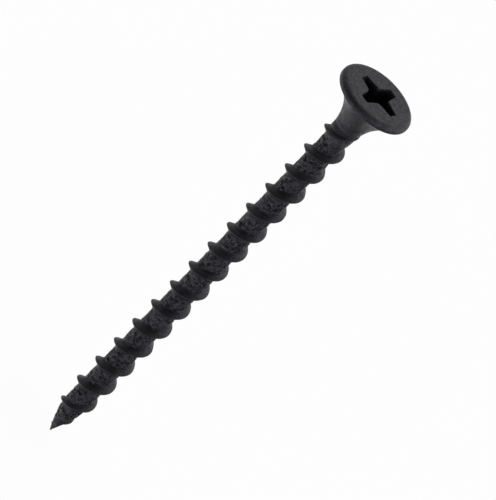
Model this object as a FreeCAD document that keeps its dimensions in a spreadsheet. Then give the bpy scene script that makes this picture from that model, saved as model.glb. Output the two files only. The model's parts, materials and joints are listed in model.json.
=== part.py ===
import FreeCAD, Part
import math
import os

import Sketcher
from FreeCAD import Vector

# A bugle-head wood screw with a coarse single-start thread, cold formed from one piece of steel wire.
# The screw stands on its point, head up: +Z runs along its axis and out of the head, and the origin is
# the centre of the head's flat top face. The regions of the one piece are the nodes, face to face.

# Every driving size, in millimetres or degrees.
SIZES = {
    "length": 55.0,            # from the head's face to the tip
    "head_radius": 4.3,
    "head_height": 5.7,        # from the face to where the flare runs out into the neck
    "rim_depth": 0.75,         # from the face to the rim's sharp lower edge
    "shoulder_radius": 0.6,    # rounding between the face and the rim
    "neck_radius": 1.41,       # at the foot of the flare
    "neck_length": 1.8,
    "root_radius": 1.235,      # the core between the thread's turns
    "point_length": 5.2,
    "tip_radius": 0.04,
    "thread_radius": 1.88,
    "pitch": 3.175,            # eight turns to the inch
    "crest_half": 0.05,        # half the width of the crest's narrow land
    "flank_slope": 0.79,       # how much each flank widens the ridge per millimetre towards the axis
    "ridge_inner": 0.12,       # how near the axis the ridge starts before the core is taken out of it
    "turn_gap": 0.29,          # the least gap between two turns of that ridge, where it starts
    "thread_start": 1.83,      # height of the thread's blunt start above the tip
    "thread_turn": 290.0,      # direction of that start about +Z, from +X
    "thread_overrun": 1.1,     # how far the thread climbs the foot of the flare
    "lead_drop": 1.005,        # how far inside the core's radius the lead-in cone meets the tip's level
    "lead_length": 5.13,       # height over which the crest grows to full size
    "runout_length": 2.75,     # height over which the crest fades below the head
    "runout_rise": 0.02,       # how far the faded crest still stands above the neck
    "room_margin": 0.17,       # how far the crest envelope stands clear of the full thread
    "wing_reach": 2.5,         # cross recess No. 2, at the face: centre to a wing's end
    "wing_end_half": 0.43,
    "wing_root_half": 0.85,    # half the wing's width where the wings meet on the axis
    "wing_depth": 2.6,
    "floor_reach": 1.2,        # the same three sizes at the floor of the wings
    "floor_end_half": 0.32,
    "floor_root_half": 0.55,
    "centre_radius": 0.5,      # the cone below the floor, at its mouth
    "centre_depth": 0.3,
    "recess_turn": 341.0,      # direction of the first wing about +Z, from +X
}

WINGS = 4
FULL_TURN = 360.0

# Where Sketcher keeps its own references: the origin, the two axes, and the points of an element.
ORIGIN = (-1, 1)
ACROSS, UPRIGHT = -1, -2
START, END, CENTRE = 1, 2, 3


def fill_sheet(doc):
    """Put every driving size into one sheet, each in a cell with its own alias."""
    sheet = doc.addObject("Spreadsheet::Sheet", "Sizes")
    for row, (name, value) in enumerate(SIZES.items(), 1):
        sheet.set(f"A{row}", name)
        sheet.set(f"B{row}", str(value))
        sheet.setAlias(f"B{row}", name)
    doc.recompute()


def bind(thing, **expressions):
    """Tie properties to the sheet; a double underscore in a keyword stands for a dot."""
    for name, expression in expressions.items():
        thing.setExpression(name.replace("__", "."), expression)


def new_body(doc, name):
    body = doc.addObject("PartDesign::Body", name)
    body.Label = name
    return body


def origin_feature(body, role):
    return next(item for item in body.Origin.OriginFeatures if item.Role == role)


def new_sketch(body, name, plane):
    sketch = body.newObject("Sketcher::SketchObject", name)
    sketch.AttachmentSupport = (origin_feature(body, plane), [""])
    sketch.MapMode = "FlatFace"
    return sketch


def tie(sketch, kind, ends, present, expression):
    """Add a distance or a radius at its present value, name it and bind it to the sheet."""
    index = sketch.addConstraint(Sketcher.Constraint(kind, *ends, present))
    name = f"{kind}{index}"
    sketch.renameConstraint(index, name)
    sketch.setExpression(f"Constraints.{name}", expression)


def hold(sketch, point, across, up):
    """Hold a sketch point at two sizes from the origin; a leading minus measures the other way."""
    place = sketch.getPoint(*point)
    for kind, axis, present, size in (("DistanceX", UPRIGHT, place.x, across),
                                      ("DistanceY", ACROSS, place.y, up)):
        if size == "0":
            sketch.addConstraint(Sketcher.Constraint("PointOnObject", *point, axis))
        elif size.startswith("-"):
            tie(sketch, kind, point + ORIGIN, -present, size[1:])
        else:
            tie(sketch, kind, ORIGIN + point, present, size)


def polygon(sketch, corners):
    """Close a chain of lines through corners, each a pair of sheet expressions."""
    count = len(corners)
    places = [Vector(math.cos(angle), math.sin(angle), 0) for angle in
              (2 * math.pi * index / count for index in range(count))]
    for index in range(count):
        sketch.addGeometry(Part.LineSegment(places[index], places[(index + 1) % count]))
    for index in range(count):
        sketch.addConstraint(Sketcher.Constraint("Coincident", index, END, (index + 1) % count, START))
    for index, (across, up) in enumerate(corners):
        hold(sketch, (index, START), across, up)


def revolve(body, kind, name, sketch):
    """Turn a sketch once round the body's +Z axis."""
    feature = body.newObject(kind, name)
    feature.Profile = sketch
    feature.ReferenceAxis = (origin_feature(body, "Z_Axis"), [""])
    feature.Angle = FULL_TURN
    return feature


def head_blank(body):
    """A round slug as high as the whole head, with its top edge rounded."""
    sketch = new_sketch(body, "HeadDisc", "XY_Plane")
    sketch.addGeometry(Part.Circle(Vector(), Vector(0, 0, 1), 1.0))
    sketch.addConstraint(Sketcher.Constraint("Coincident", 0, CENTRE, *ORIGIN))
    tie(sketch, "Radius", (0,), 1.0, "Sizes.head_radius")
    pad = body.newObject("PartDesign::Pad", "HeadSlug")
    pad.Profile = sketch
    pad.Reversed = True
    bind(pad, Length="Sizes.head_height")
    body.Document.recompute()
    top = next(index for index, edge in enumerate(pad.Shape.Edges, 1)
               if edge.Closed and edge.BoundBox.ZMin > -SIZES["rim_depth"])
    fillet = body.newObject("PartDesign::Fillet", "Shoulder")
    fillet.Base = (pad, [f"Edge{top}"])
    bind(fillet, Radius="Sizes.shoulder_radius")


def flare(body):
    """Groove the bugle's hollow flank: an arc that leaves the neck tangent and ends at the rim's edge."""
    sketch = new_sketch(body, "FlareCircle", "XZ_Plane")
    rise = "(Sizes.head_height - Sizes.rim_depth)"
    spread = "(Sizes.head_radius - Sizes.neck_radius)"
    sketch.addGeometry(Part.Circle(Vector(1, -1, 0), Vector(0, 0, 1), 1.0))
    bulge = f"({rise} * {rise} + {spread} * {spread}) / (2 * {spread})"
    tie(sketch, "Radius", (0,), 1.0, bulge)
    hold(sketch, (0, CENTRE), f"Sizes.neck_radius + {bulge}", "-Sizes.head_height")
    revolve(body, "PartDesign::Groove", "Flare", sketch)


def wing_section(body, name, reach, end_half, root_half):
    """One wing of the cross recess seen from above, wide on the axis and narrow at its end."""
    sketch = new_sketch(body, name, "XY_Plane")
    polygon(sketch, [("0", f"-{root_half}"), (reach, f"-{end_half}"), (reach, end_half), ("0", root_half)])
    return sketch


def cross_recess(body):
    """Sink four tapering wings, then the small cone below the place where they meet."""
    mouth = wing_section(body, "WingMouth", "Sizes.wing_reach", "Sizes.wing_end_half", "Sizes.wing_root_half")
    floor = wing_section(body, "WingFloor", "Sizes.floor_reach", "Sizes.floor_end_half",
                         "Sizes.floor_root_half")
    bind(floor, AttachmentOffset__Base__z="-Sizes.wing_depth")
    body.Document.recompute()
    wing = body.newObject("PartDesign::SubtractiveLoft", "Wing")
    wing.Profile = mouth
    wing.Sections = [floor]
    wing.Ruled = True
    body.Document.recompute()
    wings = body.newObject("PartDesign::PolarPattern", "Wings")
    wings.Originals = [wing]
    wings.Axis = (origin_feature(body, "Z_Axis"), [""])
    wings.Angle = FULL_TURN
    wings.Occurrences = WINGS
    body.Tip = wings
    cone = new_sketch(body, "RecessCentre", "XZ_Plane")
    polygon(cone, [("0", "-Sizes.wing_depth"), ("0", "-(Sizes.wing_depth + Sizes.centre_depth)"),
                   ("Sizes.centre_radius", "-Sizes.wing_depth")])
    revolve(body, "PartDesign::Groove", "Centre", cone)


def bugle_head(doc):
    """The head: a flat face with the cross recess, a thin rim and the hollow flare under it."""
    body = new_body(doc, "bugle_head")
    head_blank(body)
    flare(body)
    cross_recess(body)
    bind(body, Placement__Rotation__Angle="Sizes.recess_turn")
    return body


def neck(doc):
    """The plain stretch under the flare, which thins down to the core."""
    cone = doc.addObject("Part::Cone", "neck")
    bind(cone, Radius1="Sizes.root_radius", Radius2="Sizes.neck_radius", Height="Sizes.neck_length",
         Placement__Base__z="-Sizes.head_height - Sizes.neck_length")
    return cone


def shank(doc):
    """The straight core that carries the thread."""
    core = doc.addObject("Part::Cylinder", "shank")
    bind(core, Radius="Sizes.root_radius",
         Height="Sizes.length - Sizes.point_length - Sizes.head_height - Sizes.neck_length",
         Placement__Base__z="-Sizes.length + Sizes.point_length")
    return core


def point(doc):
    """The tapered end: an arc that leaves the core tangent and closes on a small blunt tip."""
    body = new_body(doc, "point")
    sketch = new_sketch(body, "PointOutline", "XZ_Plane")
    tip, root, rise = (SIZES[name] for name in ("tip_radius", "root_radius", "point_length"))
    bulge = ((root - tip) ** 2 + rise ** 2) / (2 * (root - tip))
    circle = Part.Circle(Vector(root - bulge, rise, 0), Vector(0, 0, 1), bulge)
    foot, shoulder = Vector(tip, 0, 0), Vector(root, rise, 0)
    sketch.addGeometry(Part.LineSegment(Vector(), foot))
    sketch.addGeometry(Part.ArcOfCircle(circle, circle.parameter(foot), 2 * math.pi))
    sketch.addGeometry(Part.LineSegment(shoulder, Vector(0, rise, 0)))
    sketch.addGeometry(Part.LineSegment(Vector(0, rise, 0), Vector()))
    sides = sketch.GeometryCount
    for index in range(sides):
        sketch.addConstraint(Sketcher.Constraint("Coincident", index, END, (index + 1) % sides, START))
    hold(sketch, (0, START), "0", "0")
    hold(sketch, (1, START), "Sizes.tip_radius", "0")
    hold(sketch, (2, START), "Sizes.root_radius", "Sizes.point_length")
    hold(sketch, (3, START), "0", "Sizes.point_length")
    sketch.addConstraint(Sketcher.Constraint("Horizontal", 1, CENTRE, 1, END))
    revolve(body, "PartDesign::Revolution", "Ogive", sketch)
    bind(body, Placement__Base__z="-Sizes.length")
    return body


def ridge(doc):
    """The thread's ridge before it is trimmed: a tapering section swept up a right-hand helix."""
    body = new_body(doc, "ridge")
    sketch = new_sketch(body, "RidgeSection", "XZ_Plane")
    flank_reach = "((Sizes.pitch - Sizes.turn_gap) / 2 - Sizes.crest_half) / Sizes.flank_slope"
    inner = f"max(Sizes.ridge_inner; Sizes.thread_radius - {flank_reach})"
    inner_half = f"Sizes.crest_half + (Sizes.thread_radius - {inner}) * Sizes.flank_slope"
    polygon(sketch, [(inner, f"-({inner_half})"), ("Sizes.thread_radius", "-Sizes.crest_half"),
                     ("Sizes.thread_radius", "Sizes.crest_half"), (inner, inner_half)])
    helix = body.newObject("PartDesign::AdditiveHelix", "Helix")
    helix.Profile = sketch
    helix.ReferenceAxis = (sketch, ["V_Axis"])
    bind(helix, Pitch="Sizes.pitch",
         Height="Sizes.length - Sizes.head_height + Sizes.thread_overrun - Sizes.thread_start")
    bind(body, Placement__Base__z="-Sizes.length + Sizes.thread_start",
         Placement__Rotation__Angle="Sizes.thread_turn")
    return body


def crest_envelope(doc):
    """The room the crest may fill: it grows along the point and fades out below the head."""
    top = "(Sizes.head_height - Sizes.thread_overrun)"
    full = "Sizes.thread_radius + Sizes.room_margin"
    lead = doc.addObject("Part::Cone", "LeadIn")
    bind(lead, Radius1="Sizes.root_radius - Sizes.lead_drop", Radius2=full, Height="Sizes.lead_length",
         Placement__Base__z="-Sizes.length")
    middle = doc.addObject("Part::Cylinder", "FullThread")
    bind(middle, Radius=full,
         Height=f"Sizes.length - Sizes.lead_length - Sizes.runout_length - {top}",
         Placement__Base__z="-Sizes.length + Sizes.lead_length")
    runout = doc.addObject("Part::Cone", "RunOut")
    bind(runout, Radius1=full, Radius2="Sizes.neck_radius + Sizes.runout_rise", Height="Sizes.runout_length",
         Placement__Base__z=f"-{top} - Sizes.runout_length")
    envelope = doc.addObject("Part::MultiFuse", "CrestEnvelope")
    envelope.Shapes = [lead, middle, runout]
    return envelope


def thread(doc, core_pieces):
    """The ridge within its envelope, less the head, neck, core and point that it stands on."""
    trimmed = doc.addObject("Part::MultiCommon", "TrimmedRidge")
    trimmed.Shapes = [ridge(doc), crest_envelope(doc)]
    core = doc.addObject("Part::MultiFuse", "Core")
    core.Shapes = core_pieces
    cut = doc.addObject("Part::Cut", "thread")
    cut.Base = trimmed
    cut.Tool = core
    return cut


def check(doc, pieces):
    """Stop before anything is written if an object failed or a piece is not one sound solid."""
    for item in doc.Objects:
        if {"Invalid", "Error"} & set(item.State):
            raise RuntimeError(f"{item.Name} did not build: {item.State} {item.getStatusString()}")
    for piece in pieces:
        shape = piece.Shape
        if shape.isNull() or not shape.isValid() or len(shape.Solids) != 1:
            raise RuntimeError(f"{piece.Label} is not one sound solid")


def build():
    doc = FreeCAD.newDocument("wood_screw")
    fill_sheet(doc)
    core_pieces = [bugle_head(doc), neck(doc), shank(doc), point(doc)]
    doc.recompute()
    pieces = core_pieces + [thread(doc, core_pieces)]
    doc.recompute()
    check(doc, pieces)
    os.makedirs("parts", exist_ok=True)
    for piece in pieces:
        piece.Shape.exportStep(f"parts/{piece.Label}.step")
        print(f"{piece.Label}: {piece.Shape.Volume:.3f} mm3")


build()
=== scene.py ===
"""A bugle-head wood screw in black phosphated steel, standing on its point on a pale studio floor.

Shapes are worked out in millimetres in the frame's own axes: +Z up the screw, origin on the head's face.
"""
import json
import math

import bpy
import numpy as np
from mathutils import Matrix, Vector


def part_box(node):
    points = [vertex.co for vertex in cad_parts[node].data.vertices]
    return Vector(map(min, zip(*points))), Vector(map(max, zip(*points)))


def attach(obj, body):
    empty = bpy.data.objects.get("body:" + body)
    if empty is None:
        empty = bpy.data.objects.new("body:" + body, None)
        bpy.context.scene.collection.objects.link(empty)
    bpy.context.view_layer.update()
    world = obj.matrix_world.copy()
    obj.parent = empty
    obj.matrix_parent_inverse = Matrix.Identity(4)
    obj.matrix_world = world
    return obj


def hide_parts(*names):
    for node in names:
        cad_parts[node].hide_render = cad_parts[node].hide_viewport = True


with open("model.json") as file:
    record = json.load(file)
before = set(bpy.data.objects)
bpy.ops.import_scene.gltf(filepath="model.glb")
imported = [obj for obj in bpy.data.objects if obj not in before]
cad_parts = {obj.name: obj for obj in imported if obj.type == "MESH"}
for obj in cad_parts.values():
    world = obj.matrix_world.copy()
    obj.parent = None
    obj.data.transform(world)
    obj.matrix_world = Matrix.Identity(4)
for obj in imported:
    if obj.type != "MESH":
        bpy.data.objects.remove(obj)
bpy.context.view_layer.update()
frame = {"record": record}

MM = 0.001
TURN = 2 * math.pi

# ---------------------------------------------------------------- sizes, taken from the frame

MOUNTS = {mount["name"]: mount for mount in frame["record"]["mounts"]}
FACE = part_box("bugle_head")[1][2] / MM
HEAD_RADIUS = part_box("bugle_head")[1][0] / MM
HEAD_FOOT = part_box("bugle_head")[0][2] / MM
NECK_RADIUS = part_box("neck")[1][0] / MM
NECK_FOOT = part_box("neck")[0][2] / MM
ROOT_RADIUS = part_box("shank")[1][0] / MM
POINT_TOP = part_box("point")[1][2] / MM
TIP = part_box("point")[0][2] / MM
CREST_RADIUS = MOUNTS["thread"]["dims"]["r_mm"]
WING_REACH = MOUNTS["driver_recess"]["dims"]["r_mm"]

# ---------------------------------------------------------------- sizes of the detail, in millimetres

# The head.
RIM_DEPTH = 0.75                 # from the face to the rim's lower edge
RIM_LIP = 0.07                   # how far the rim stands out past the top of the flare
RIM_EDGE = ((0.035, 0.012), (0.012, 0.045))    # the lip's rounding: distance in from the rim, and up
SHOULDER_WIDE = 0.62             # the rounding between rim and face, inwards
SHOULDER_DEEP = 0.46             # and downwards
RECESS_TURN = math.radians(-19)  # direction of the first wing, from +X
MOUTH = {"reach": WING_REACH, "end_half": 0.43, "root_half": 0.9}
FLOOR = {"reach": 1.2, "end_half": 0.32, "root_half": 0.55}
WING_ROOT_ROUND = 0.17           # roundings in the cross's plan, where two wings meet and at a wing's end
WING_END_ROUND = 0.22
MOUTH_WIDE = (0.06, 0.02)        # the mouth's rounded lip: how far out it is at the face and just below
MOUTH_DEEP = (0.015, 0.06)       # depth of that second ring, and of the lip's foot
WING_DEPTH = 2.6
CENTRE_DEPTH = 0.3
HEAD_DENTS = ((1.3, 0.010, 11), (0.5, 0.005, 12))    # size across, depth and random seed of the unevenness
FACE_SHARE = 0.6                 # how much of that unevenness the face shows
DIE_LINES = (-5.0, -5.18, -5.35) # heights of the grooves that the dies left
DIE_LINE_WIDE = 0.032
DIE_LINE_DEEP = 0.06
DIE_LINE_SIDE = ((2.9, 3.4), (5.2, 4.7))    # angles between which they begin and end

# The core.
TIP_RADIUS = 0.09                # a blunt cone at the very end
TIP_SLOPE = 0.325                # its radius gained per millimetre of height
TIP_BLEND = 0.12
DENT_SIZE = 0.5                  # size across of each kind of mark that the dies left, and its depth
DENT_DEEP = 0.040
GRAIN_SIZE = 0.2
GRAIN_DEEP = 0.028
PIT_SIZE = 0.32
PIT_DEEP = 0.06
SMEAR_SIZE = 0.42
SPECK_SIZE = 0.17
MARK_STRETCH = (1, 1, 1.5)       # the marks are this much shorter along the axis
NICK = ((3.72, -9.95), (4.12, -10.42))    # angle and height of the ends of a slit in the core
NICK_WIDE = 0.07
NICK_DEEP = 0.2

# The thread.
PITCH = 3.175                    # eight turns to the inch
FIRST_CREST = 2.448              # height above the tip of the first crest on the +X side
FLANK_HALF = 0.56                # half the ridge's width at the core
CREST_HALF = 0.045
ROOT_FILLET = 0.16
CREST_ROUND = 0.07
ROOT_SINK = 0.03                 # how deep the ridge's edges lie under the core's surface
FOOT_WIDE = 0.2                  # how far the section runs on past each flank
HEART_DEEP = 0.2                 # depth of the section's hidden inner side below the core's surface
LEAN = (2.5, 0.04, 31)           # the crest's wander: size along it, amount and random seed
CHIPS = (0.9, 0.03, 32)          # and its uneven height
ROLLED_GRAIN = (0.4, 0.008, 33)
# Turns up from the first crest, each with the crest's radius there: it grows, holds, and fades.
CREST_STEPS = (-0.5, -0.25, 0, 0.25, 0.5, 1, 1.5, 13.9, 14.5, 14.75, 15.0, 15.06, 15.12)
CREST_SIZES = (0.42, 0.66, 1.1, 1.36, 1.57, 1.76, 1.88, 1.88, 1.84, 1.7, 1.58, 1.52, 1.3)

HEAD_SEGMENTS = 480
CORE_SEGMENTS = 112
CORE_RINGS = 850
TIP_RINGS = 30
TIP_HEIGHT = 1.5                 # the stretch of the point where the rings crowd together
THREAD_SECTIONS = 1560
SECTION_POINTS = 33


# ---------------------------------------------------------------- numbers over arrays

def smooth_min(first, second, width):
    """The lower of two arrays, with a parabola of this width across the place where they cross."""
    overlap = np.clip(width - np.abs(first - second), 0, None)
    return np.minimum(first, second) - overlap * overlap / (4 * width)


def smooth_max(first, second, width):
    """The higher of two arrays, rounded in the same way."""
    return -smooth_min(-first, -second, width)


def smooth_step(low, high, values):
    """0 below low, 1 above high, and a cubic ramp between."""
    ramp = np.clip((values - low) / (high - low), 0, 1)
    return ramp * ramp * (3 - 2 * ramp)


def grain(places, size, seed):
    """Value noise from -1 to 1: random numbers on a cubic lattice of this size, blended smoothly between."""
    cells = 32
    table = np.random.default_rng(seed).uniform(-1, 1, (cells, cells, cells))
    lift = 100
    scaled = places / size + lift
    cell = np.floor(scaled).astype(int)
    part = scaled - cell
    part = part * part * (3 - 2 * part)
    total = 0
    for corner in np.ndindex(2, 2, 2):
        weight = np.prod(np.where(corner, part, 1 - part), axis=-1)
        index = (cell + corner) % cells
        total = total + weight * table[index[..., 0], index[..., 1], index[..., 2]]
    return total


def around(radius, angle, height):
    """Points from cylindrical sizes: x and y on a circle about the screw's axis, z the height."""
    radius, angle, height = np.broadcast_arrays(radius, angle, height)
    return np.stack([radius * np.cos(angle), radius * np.sin(angle), height], axis=-1)


# ---------------------------------------------------------------- meshes

def skin(name, rings, **attributes):
    """Make a closed surface from a stack of closed rings: quads between neighbours, a fan at each end."""
    count, around_ring = rings.shape[:2]
    centres = np.stack([rings[0].mean(axis=0), rings[-1].mean(axis=0)])
    points = np.concatenate([rings.reshape(-1, 3), centres]) * MM
    index = np.arange(count * around_ring).reshape(count, around_ring)
    beside = np.roll(index, -1, axis=1)
    quads = np.stack([index[:-1], beside[:-1], beside[1:], index[1:]], axis=-1).reshape(-1, 4)
    first, last = count * around_ring, count * around_ring + 1
    fans = np.concatenate([
        np.stack([beside[0], index[0], np.full(around_ring, first)], axis=-1),
        np.stack([index[-1], beside[-1], np.full(around_ring, last)], axis=-1)])
    if signed_volume(points, quads) < 0:
        quads, fans = quads[:, ::-1], fans[:, ::-1]
    mesh = bpy.data.meshes.new(name)
    corners = np.concatenate([quads.ravel(), fans.ravel()]).astype(np.int32)
    starts = np.concatenate([np.arange(len(quads)) * 4, len(quads) * 4 + np.arange(len(fans)) * 3])
    mesh.vertices.add(len(points))
    mesh.vertices.foreach_set("co", points.ravel().astype(np.float32))
    mesh.loops.add(len(corners))
    mesh.loops.foreach_set("vertex_index", corners)
    mesh.polygons.add(len(starts))
    mesh.polygons.foreach_set("loop_start", starts.astype(np.int32))
    mesh.update(calc_edges=True)
    mesh.validate()
    mesh.shade_smooth()
    for key, values in attributes.items():
        ends = [values[0].mean(), values[-1].mean()]
        layer = mesh.attributes.new(key, "FLOAT", "POINT")
        layer.data.foreach_set("value", np.concatenate([values.ravel(), ends]).astype(np.float32))
    piece = bpy.data.objects.new(name, mesh)
    bpy.context.scene.collection.objects.link(piece)
    return piece


def signed_volume(points, quads):
    """Six times the volume that the quads close round the origin, positive when they face outwards."""
    a, b, c, d = (points[quads[:, corner]] for corner in range(4))
    return np.einsum("ij,ij->i", a, np.cross(b, c) + np.cross(c, d)).sum()


# ---------------------------------------------------------------- the head

def wing_outline(angle, reach, end_half, root_half):
    """Distance from the axis to the recess's wall: straight tapering flanks, closed by each wing's end.

    Along a ray the flank is where its offset equals the wing's half width there, and the end is where its
    length along the wing equals the reach. The nearer of the two counts, and both corners are rounded.
    """
    quarter = TURN / 4
    off_wing = np.abs((angle - RECESS_TURN + quarter / 2) % quarter - quarter / 2)
    inner = quarter / 2 - np.sqrt((quarter / 2 - off_wing) ** 2 + WING_ROOT_ROUND ** 2)
    flank = root_half / (np.sin(np.maximum(inner, 0)) + (root_half - end_half) / reach * np.cos(inner))
    end = reach / np.cos(off_wing)
    return smooth_min(flank, end, WING_END_ROUND)


def flare_radius(height):
    """The bugle's hollow flank: a circle's arc, tangent to the neck, that ends at the rim's lower edge."""
    rise = -RIM_DEPTH - HEAD_FOOT
    spread = HEAD_RADIUS - RIM_LIP - NECK_RADIUS
    bulge = (rise * rise + spread * spread) / (2 * spread)
    return NECK_RADIUS + bulge - np.sqrt(bulge ** 2 - np.clip(height - HEAD_FOOT, 0, rise) ** 2)


def head_outside(angle):
    """Rings from inside the neck up the flare, round the rim's lip, up the rim and over the shoulder."""
    lap_in, lap_down = 0.05, 0.12
    lined, spacing = 1.2, 0.03
    heights = np.concatenate([np.arange(HEAD_FOOT, HEAD_FOOT + lined, spacing),
                              np.linspace(HEAD_FOOT + lined, -RIM_DEPTH, 46)])
    rings = [around(NECK_RADIUS - lap_in, angle, HEAD_FOOT - lap_down)]
    rings += [around(flare_radius(height), angle, height) for height in heights]
    rings += [around(HEAD_RADIUS - inwards, angle, -RIM_DEPTH + up) for inwards, up in RIM_EDGE]
    for lift in np.linspace(0.35, 1, 5):
        rings.append(around(HEAD_RADIUS, angle, -RIM_DEPTH + lift * (RIM_DEPTH - SHOULDER_DEEP)))
    for bend in np.linspace(0, TURN / 4, 14)[1:]:
        rings.append(around(HEAD_RADIUS - SHOULDER_WIDE * (1 - np.cos(bend)), angle,
                            -SHOULDER_DEEP * (1 - np.sin(bend))))
    face_radius = HEAD_RADIUS - SHOULDER_WIDE
    mouth = wing_outline(angle, **MOUTH)
    for inward in np.linspace(0, 1, 18)[1:]:
        rings.append(around(face_radius + (mouth + MOUTH_WIDE[0] - face_radius) * inward, angle, 0.0))
    return rings


def head_inside(angle):
    """Rings down the recess: the lip, the walls that close in, and the cone under the floor."""
    mouth = wing_outline(angle, **MOUTH)
    lip = MOUTH_DEEP[1]
    rings = [around(mouth + MOUTH_WIDE[1], angle, -MOUTH_DEEP[0]), around(mouth, angle, -lip)]
    for sink in np.linspace(0, 1, 14)[1:]:
        shape = {key: MOUTH[key] + (FLOOR[key] - MOUTH[key]) * sink for key in MOUTH}
        rings.append(around(wing_outline(angle, **shape), angle, -lip - (WING_DEPTH - lip) * sink))
    floor = wing_outline(angle, **FLOOR)
    for inward in (0.75, 0.5, 0.25, 0.08):
        rings.append(around(floor * inward, angle, -WING_DEPTH - CENTRE_DEPTH * (1 - inward)))
    return rings


def bugle_head():
    """The outside and the recess in one skin, uneven by a hundredth of a millimetre, with the die lines."""
    angle = np.arange(HEAD_SEGMENTS) / HEAD_SEGMENTS * TURN
    outside = head_outside(angle)
    rings = np.stack(outside + head_inside(angle))
    away = np.hypot(rings[..., 0], rings[..., 1])[..., None]
    near_axis = 0.3
    outward = np.concatenate([rings[..., :2] / np.maximum(away, near_axis), np.zeros_like(away)], axis=-1)
    upward = np.array([0, 0, 1.0])
    below_rim = smooth_step(-0.4, -0.9, rings[..., 2])[..., None]
    dents = sum(depth * grain(rings, size, seed) for size, depth, seed in HEAD_DENTS)
    rings = rings + dents[..., None] * (outward * below_rim + upward * (1 - below_rim) * FACE_SHARE)
    lines = die_lines(rings)
    rings = rings - DIE_LINE_DEEP * lines[..., None] * outward
    rings[..., 2] = np.minimum(rings[..., 2], 0)
    # Painted shade: the recess is darkened from just below its mouth downwards, and the die-line grooves on
    # the flare are darkened too.
    inside = (np.arange(len(rings)) >= len(outside))[:, None]
    recess = inside * smooth_step(0.0, -0.5, rings[..., 2])
    return skin("bugle_head_body", rings, soot=0.9 * np.maximum(recess, lines * ~inside))


def die_lines(rings):
    """1 along the fine grooves that the dies left round one side of the flare's foot, 0 away from them."""
    angle = np.arctan2(rings[..., 1], rings[..., 0]) % TURN
    begins, ends = DIE_LINE_SIDE
    side = smooth_step(*begins, angle) * smooth_step(*ends, angle)
    return sum(side * np.exp(-((rings[..., 2] - height) / DIE_LINE_WIDE) ** 2) for height in DIE_LINES)


# ---------------------------------------------------------------- the core

def core_radius(height):
    """The neck thins to the core along a cubic; the point is a blunt cone blended into a tangent arc."""
    neck = NECK_RADIUS + (ROOT_RADIUS - NECK_RADIUS) * smooth_step(HEAD_FOOT, NECK_FOOT, height)
    rise = POINT_TOP - TIP
    bulge = (ROOT_RADIUS ** 2 + rise ** 2) / (2 * ROOT_RADIUS)
    drop = np.clip(POINT_TOP - height, 0, rise)
    arc = neck - (bulge - np.sqrt(bulge ** 2 - drop ** 2))
    cone = TIP_RADIUS + TIP_SLOPE * np.maximum(height - TIP, 0)
    return smooth_min(arc, cone, TIP_BLEND)


def slit(angle, height, start, end, width):
    """1 along a straight scratch between two (angle, height) places on the core, falling off as a bell."""
    across = (angle - start[0]) * ROOT_RADIUS
    up = height - start[1]
    along = np.array([(end[0] - start[0]) * ROOT_RADIUS, end[1] - start[1]])
    share = np.clip((across * along[0] + up * along[1]) / (along @ along), 0, 1)
    gap = np.hypot(across - share * along[0], up - share * along[1])
    return np.exp(-(gap / width) ** 2)


def core():
    """Rings up the axis whose radius is the core's, pitted and smeared where the dies rolled the wire."""
    angle = np.arange(CORE_SEGMENTS) / CORE_SEGMENTS * TURN
    low = TIP + TIP_HEIGHT * np.linspace(0, 1, TIP_RINGS) ** 1.5
    lap = 0.15
    heights = np.concatenate([low, np.linspace(low[-1], HEAD_FOOT + lap, CORE_RINGS)[1:]])[:, None]
    rings = around(core_radius(heights), angle, heights)
    rolled = smooth_step(HEAD_FOOT - 0.5, HEAD_FOOT - 1.6, heights)
    rolled = rolled * smooth_step(TIP + 0.2, TIP + 2, heights)
    stretched = rings * MARK_STRETCH
    dents = grain(stretched, DENT_SIZE, 21)
    grains = grain(rings, GRAIN_SIZE, 22)
    smears = np.abs(grain(stretched + 0.25 * grains[..., None], SMEAR_SIZE, 24))
    pits = smooth_step(0.3, 0.6, grain(stretched, PIT_SIZE, 23))
    pits = np.maximum(pits, smooth_step(0.16, 0.02, smears))
    nick = slit(angle, heights, *NICK, NICK_WIDE)
    relief = rolled * (DENT_DEEP * dents + GRAIN_DEEP * grains - PIT_DEEP * pits) - NICK_DEEP * nick
    rings = around(core_radius(heights) + relief, angle, heights)
    # Painted shade in the pits and in the slit, with random dark specks on the coat, goes into the attribute
    # below.
    specks = smooth_step(-0.1, 0.6, grain(rings, SPECK_SIZE, 25))
    return skin("threaded_core", rings, soot=np.clip((0.75 * pits + 0.55 * specks) * rolled + nick, 0, 1))


# ---------------------------------------------------------------- the thread

def uneven(pattern, places):
    """Noise with a pattern's size across, amount and random seed."""
    size, amount, seed = pattern
    return amount * grain(places, size, seed)


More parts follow.
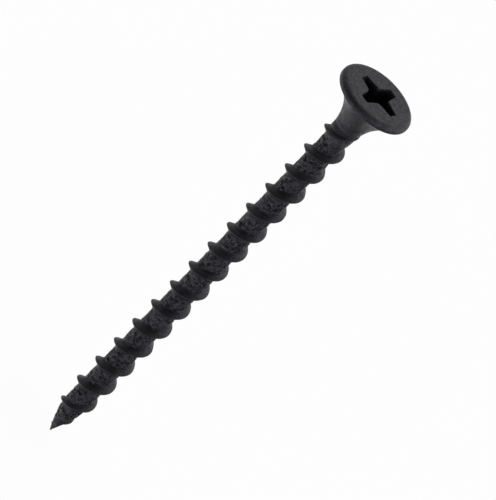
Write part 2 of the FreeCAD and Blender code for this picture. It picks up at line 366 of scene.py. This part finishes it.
def thread():
    """Closed sections up a helix: straight flanks, rounded at the crest and filleted into the core."""
    turns = np.linspace(CREST_STEPS[0], CREST_STEPS[-1], THREAD_SECTIONS)[:, None]
    turned = TURN * turns
    crest_height = TIP + FIRST_CREST + PITCH * turns
    spread = np.linspace(-1, 1, SECTION_POINTS)
    across = np.sign(spread) * np.abs(spread) ** 1.4 * (FLANK_HALF + FOOT_WIDE)
    heights = crest_height + across + uneven(LEAN, around(1.0, turned, crest_height))
    foot = core_radius(np.clip(heights, TIP, HEAD_FOOT))
    crest_radius = np.interp(turns, CREST_STEPS, CREST_SIZES)
    rise = crest_radius - core_radius(np.clip(crest_height, TIP, HEAD_FOOT))
    rise = np.maximum(rise + uneven(CHIPS, around(2.0, turned, crest_height)), 0.02)
    slope = (FLANK_HALF - CREST_HALF) / (CREST_RADIUS - ROOT_RADIUS)
    flank = rise - (np.abs(across) - CREST_HALF) / slope
    ridge = smooth_max(smooth_min(flank, rise, CREST_ROUND), -ROOT_SINK, ROOT_FILLET)
    radius = np.concatenate([foot + ridge, foot[:, [-1, 0]] - HEART_DEEP], axis=1)
    height = np.concatenate([heights, heights[:, [-1, 0]]], axis=1)
    roughness = uneven(ROLLED_GRAIN, around(radius, turned, height))
    rings = around(radius + roughness, turned, height)
    # Painted shade: the ridge is darkened in patches where it meets the core, and on its underside over the
    # last turns where it runs out.
    share = np.concatenate([ridge / rise, np.zeros((len(turns), 2))], axis=1)
    soot = 0.6 * smooth_step(0.5, 0.0, share) * smooth_step(-0.5, 0.4, grain(rings, 0.4, 34))
    below = np.concatenate([across, across[[-1, 0]]]) < -0.1
    runout_underside_shade = 0.5 * smooth_step(14.1, 14.5, turns) * below
    return skin("rolled_thread", rings, soot=np.maximum(soot, runout_underside_shade))


# ---------------------------------------------------------------- finishes

def linear(code):
    """A hex sRGB colour as linear RGBA."""
    parts = [int(code[place:place + 2], 16) / 255 for place in (0, 2, 4)]
    return [p / 12.92 if p <= 0.04045 else ((p + 0.055) / 1.055) ** 2.4 for p in parts] + [1.0]


def per_mm(size):
    """A texture's scale, on Object coordinates in metres, for a pattern this many millimetres across."""
    return 1 / (size * MM)


def add(tree, kind, links=None, **settings):
    """Add a node with its settings; each link fills a socket with a value or from another socket."""
    item = tree.nodes.new(kind)
    for key, value in settings.items():
        setattr(item, key, value)
    for key, value in (links or {}).items():
        if isinstance(value, bpy.types.NodeSocket):
            tree.links.new(value, item.inputs[key])
        else:
            item.inputs[key].default_value = value
    return item


def graded(tree, value, span=(0.0, 1.0), onto=(0.0, 1.0), **settings):
    """The value's span spread over another one, and held at its two ends."""
    links = {"Value": value, "From Min": span[0], "From Max": span[1], "To Min": onto[0], "To Max": onto[1]}
    return add(tree, "ShaderNodeMapRange", links, **settings).outputs[0]


def new_material(name):
    material = bpy.data.materials.new(name)
    material.use_nodes = True
    material.node_tree.nodes.clear()
    return material, material.node_tree


CRYSTAL_SIZE = 0.14              # millimetres across
BUMP_DEPTH = 0.04
TONE_SPAN = (0.75, 1.25)         # the two noises' sum, from the darkest places to the lightest
SHEEN = (0.06, 0.5)              # specular level under the painted shade and specks, and where the coat is clear of them
DULLNESS = (0.62, 0.38)          # roughness of the darkest places and of the lightest
OIL_TINT = "f4f2ff"              # the faint violet of the oil film


def black_phosphate(name, dark, light, cloud, bump):
    """Black phosphated steel. To the eye it is a matt near-black, mottled by clouds of fine crystals.

    Its shade attribute paints shade black and without sheen in the recess, the pits, the grooves and the
    thread's roots, and adds random dark specks on the core.
    """
    material, tree = new_material(name)
    place = add(tree, "ShaderNodeTexCoord").outputs["Object"]
    clouds = add(tree, "ShaderNodeTexNoise", {"Vector": place, "Scale": per_mm(cloud), "Detail": 4.0,
                                              "Roughness": 0.65, "Distortion": 0.6}).outputs["Fac"]
    crystals = add(tree, "ShaderNodeTexNoise", {"Vector": place, "Scale": per_mm(CRYSTAL_SIZE),
                                                "Detail": 2.0, "Roughness": 0.7}).outputs["Fac"]
    mixed = add(tree, "ShaderNodeMath", {0: clouds, 1: crystals}, operation="ADD").outputs[0]
    tone = graded(tree, mixed, span=TONE_SPAN)
    # Painted shade: the attribute darkens the colour towards black and takes away the sheen.
    soot = add(tree, "ShaderNodeAttribute", attribute_name="soot").outputs["Fac"]
    clear_share = add(tree, "ShaderNodeMath", {0: 1.0, 1: soot}, operation="SUBTRACT").outputs[0]
    shade = add(tree, "ShaderNodeMath", {0: tone, 1: clear_share}, operation="MULTIPLY").outputs[0]
    ramp = add(tree, "ShaderNodeValToRGB", {"Fac": shade})
    ramp.color_ramp.elements[0].color = linear(dark)
    ramp.color_ramp.elements[1].color = linear(light)
    sheen = graded(tree, clear_share, onto=SHEEN)
    rough = graded(tree, tone, onto=DULLNESS)
    relief = add(tree, "ShaderNodeBump", {"Height": mixed, "Strength": bump, "Distance": BUMP_DEPTH * MM})
    surface = add(tree, "ShaderNodeBsdfPrincipled",
                  {"Base Color": ramp.outputs["Color"], "Roughness": rough, "Specular IOR Level": sheen,
                   "Specular Tint": linear(OIL_TINT), "Normal": relief.outputs["Normal"]})
    add(tree, "ShaderNodeOutputMaterial", {"Surface": surface.outputs["BSDF"]})
    return material


# ---------------------------------------------------------------- the studio

DARK_SIDE = (-0.37, -0.79, 0.49)    # the tent is dark round the viewer's left shoulder
DARK_SPAN = (0.3, 0.9)              # how squarely a ray faces it where the dark begins, and where it is full
DARK_LIGHT = (0.7, 0.07)            # the tent's strength at those two
LID_SPAN = (0.6, 0.95)              # how steeply a ray rises where the lid begins, and where it is darkest
LID_SHARE = (1.0, 0.3)              # share of the light left at those two
SIDE_SHARE = (0.45, 1.9)            # share of the light from the left and from the right
SHADED_SIDE = (0.95, -0.31, 0.0)    # the floor lies in shade on this side
SHADE_SPAN = (0.25, 0.9)            # how squarely a place lies there where the shade begins, and is full
FLOOR_LIGHT = (0.9, 0.2)            # the floor's strength at those two
FLOOR_GREY = "6c6c6c"               # what the viewer sees: a grey sheet that takes the shadow,
FLOOR_GLOW = 0.92                   # with light added until it reads white


def pale_floor():
    """A wide pale floor under the tip, which reads white to the eye and keeps a share of its shadow.

    In the steel's reflections it is a white sheet that falls off into shade on one side.
    """
    mesh = bpy.data.meshes.new("studio_floor")
    reach = 2.0
    mesh.from_pydata([(-reach, -reach, 0), (reach, -reach, 0), (reach, reach, 0), (-reach, reach, 0)],
                     [], [(0, 1, 2, 3)])
    floor = bpy.data.objects.new("studio_floor", mesh)
    floor.location.z = TIP * MM
    bpy.context.scene.collection.objects.link(floor)
    material, tree = new_material("white_paper_floor")
    path = add(tree, "ShaderNodeLightPath")
    seen = add(tree, "ShaderNodeMath", {0: path.outputs["Is Camera Ray"],
                                        1: path.outputs["Is Transmission Ray"]}, operation="MAXIMUM")
    outward = add(tree, "ShaderNodeVectorMath", {0: add(tree, "ShaderNodeTexCoord").outputs["Object"]},
                  operation="NORMALIZE")
    toward = add(tree, "ShaderNodeVectorMath", {0: outward.outputs[0], 1: SHADED_SIDE},
                 operation="DOT_PRODUCT")
    shade = graded(tree, toward.outputs["Value"], SHADE_SPAN, FLOOR_LIGHT)
    lit = add(tree, "ShaderNodeEmission", {"Color": linear("ffffff"), "Strength": shade})
    dim = add(tree, "ShaderNodeBsdfDiffuse", {"Color": linear(FLOOR_GREY)})
    glow = add(tree, "ShaderNodeEmission", {"Color": linear("ffffff"), "Strength": FLOOR_GLOW})
    shown = add(tree, "ShaderNodeAddShader", {0: dim.outputs[0], 1: glow.outputs[0]})
    both = add(tree, "ShaderNodeMixShader",
               {"Fac": seen.outputs[0], 1: lit.outputs[0], 2: shown.outputs[0]})
    add(tree, "ShaderNodeOutputMaterial", {"Surface": both.outputs[0]})
    mesh.materials.append(material)


def soft_studio():
    """A white tent: bright behind and at the sides, dark where the viewer stands and overhead."""
    world = bpy.data.worlds.new("white_tent")
    bpy.context.scene.world = world
    world.use_nodes = True
    tree = world.node_tree
    tree.nodes.clear()
    direction = add(tree, "ShaderNodeTexCoord").outputs["Generated"]
    toward = add(tree, "ShaderNodeVectorMath", {0: direction, 1: DARK_SIDE}, operation="DOT_PRODUCT")
    light = graded(tree, toward.outputs["Value"], DARK_SPAN, DARK_LIGHT, interpolation_type="SMOOTHSTEP")
    rise = add(tree, "ShaderNodeSeparateXYZ", {0: direction})
    lid = graded(tree, rise.outputs["Z"], LID_SPAN, LID_SHARE, interpolation_type="SMOOTHSTEP")
    side = graded(tree, rise.outputs["X"], (-1.0, 1.0), SIDE_SHARE)
    tent = add(tree, "ShaderNodeMath", {0: light, 1: lid}, operation="MULTIPLY")
    tent = add(tree, "ShaderNodeMath", {0: tent.outputs[0], 1: side}, operation="MULTIPLY")
    seen = add(tree, "ShaderNodeLightPath").outputs["Is Camera Ray"]
    strength = add(tree, "ShaderNodeMath", {0: tent.outputs[0], 1: seen}, operation="MAXIMUM")
    back = add(tree, "ShaderNodeBackground", {"Color": linear("ffffff"), "Strength": strength.outputs[0]})
    add(tree, "ShaderNodeOutputWorld", {"Surface": back.outputs[0]})


# The viewer looks down on the head, with the screw leaning up to the right.
VIEW_TILT = math.radians(31.5)      # above the level plane
VIEW_LEAN = math.radians(45.41)     # of the screw's axis, above the picture's level line
VIEW_DISTANCE = 557.9               # millimetres from the screw's middle
VIEW_LENS = 401.3                   # millimetres, on the default sensor
AIM_RIGHT = 3.808                   # where the lens points, off the screw's middle
AIM_UP = 1.706
VIEW_DIRECTION = Vector((0, -math.cos(VIEW_TILT), math.sin(VIEW_TILT)))


def viewer():
    """A long lens at the viewing angle, rolled so that the axis leans, and aimed a little off the middle."""
    rising = Vector((0, math.sin(VIEW_TILT), math.cos(VIEW_TILT)))
    level = Vector((1, 0, 0))
    right = math.cos(VIEW_LEAN) * rising + math.sin(VIEW_LEAN) * level
    above = math.sin(VIEW_LEAN) * rising - math.cos(VIEW_LEAN) * level
    middle = Vector((0, 0, (FACE + TIP) / 2))
    place = middle + VIEW_DISTANCE * VIEW_DIRECTION
    aim = middle + AIM_RIGHT * right + AIM_UP * above
    back = (place - aim).normalized()
    side = above.cross(back).normalized()
    turn = Matrix((side, back.cross(side), back)).transposed().to_4x4()
    lens = bpy.data.cameras.new("viewer")
    lens.lens = VIEW_LENS
    lens.clip_start = 0.01
    camera = bpy.data.objects.new("viewer", lens)
    camera.matrix_world = Matrix.Translation(place * MM) @ turn
    bpy.context.scene.collection.objects.link(camera)
    bpy.context.scene.camera = camera


# ---------------------------------------------------------------- making it all

viewer()
soft_studio()
pale_floor()
bpy.context.scene.view_settings.view_transform = "Standard"

# Each piece, the nodes it stands for, its slot and its finish.
PIECES = (
    (bugle_head(), ["bugle_head"], "head_phosphate",
     black_phosphate("black_phosphate_headed", "0a0a0c", "38383e", 0.55, 0.6)),
    (core(), ["neck", "shank", "point"], "core_phosphate",
     black_phosphate("black_phosphate_rolled_core", "08080a", "4a4a52", 0.35, 0.9)),
    (thread(), ["thread"], "thread_phosphate",
     black_phosphate("black_phosphate_rolled_crest", "0a0a0c", "34343a", 0.5, 0.6)),
)
for piece, nodes, slot, finish in PIECES:
    piece.data.materials.append(finish)
    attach(piece, "root")
    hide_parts(*nodes)
